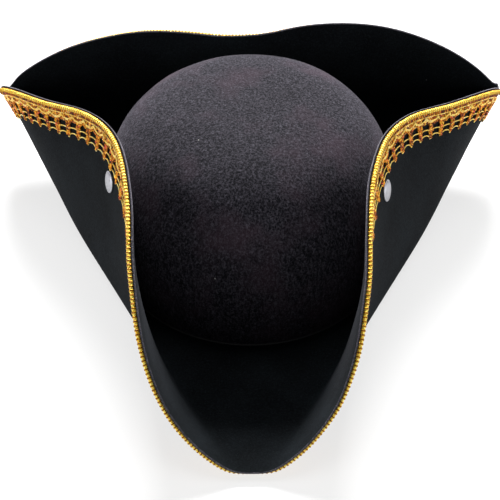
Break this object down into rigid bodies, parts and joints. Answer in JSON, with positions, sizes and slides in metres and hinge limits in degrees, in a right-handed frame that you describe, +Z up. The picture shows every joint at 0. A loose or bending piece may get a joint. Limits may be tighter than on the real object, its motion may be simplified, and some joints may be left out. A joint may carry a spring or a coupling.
{
  "type": "three-cornered hat",
  "caption": "Three-cornered felt hat: domed crown, brim turned up on three sides, edged with gold lace and held up by press studs that let each side open.",
  "frame": {"origin": "on the plane the brim stands on, under the middle of the hat's box", "axes": "+Z up out of the top of the crown, -Y out through the front peak, +X to the right as seen from the front"},
  "size_m": [0.3602, 0.3394, 0.1214],
  "materials": {
    "felt": "rough needle-punched black felt",
    "gold_lace": "metallic gold lace, part shiny",
    "ribbon": "black ribbed ribbon, low sheen",
    "steel": "plated steel, lightly worn"
  },
  "bodies": {
    "hat": {"crown": "felt", "brim": "felt", "sweatband": "ribbon", "front_lace": "gold_lace", "right_corner_lace": "gold_lace", "left_corner_lace": "gold_lace", "right_snap_stud": "steel", "right_snap_post": "steel", "back_snap_stud": "steel", "back_snap_post": "steel", "left_snap_stud": "steel", "left_snap_post": "steel"},
    "right_flap": {"right_flap": "felt", "right_lace": "gold_lace", "right_snap_cap": "steel", "right_snap_socket": "steel"},
    "back_flap": {"back_flap": "felt", "back_lace": "gold_lace", "back_snap_cap": "steel", "back_snap_socket": "steel"},
    "left_flap": {"left_flap": "felt", "left_lace": "gold_lace", "left_snap_cap": "steel", "left_snap_socket": "steel"}
  },
  "joints": [
    {"name": "right_flap_hinge", "type": "hinge", "parent": "hat", "child": "right_flap", "pos_m": [0.04172, -0.15633, 0.02903], "axis": [0.4017, 0.911, 0.0936], "range_deg": [0, 40]},
    {"name": "back_flap_hinge", "type": "hinge", "parent": "hat", "child": "back_flap", "pos_m": [0.17866, 0.15418, 0.06093], "axis": [-0.9995, 0.0174, -0.0258], "range_deg": [0, 40]},
    {"name": "left_flap_hinge", "type": "hinge", "parent": "hat", "child": "left_flap", "pos_m": [-0.1783, 0.16041, 0.05172], "axis": [0.3958, -0.9162, -0.0623], "range_deg": [0, 40]}
  ]
}
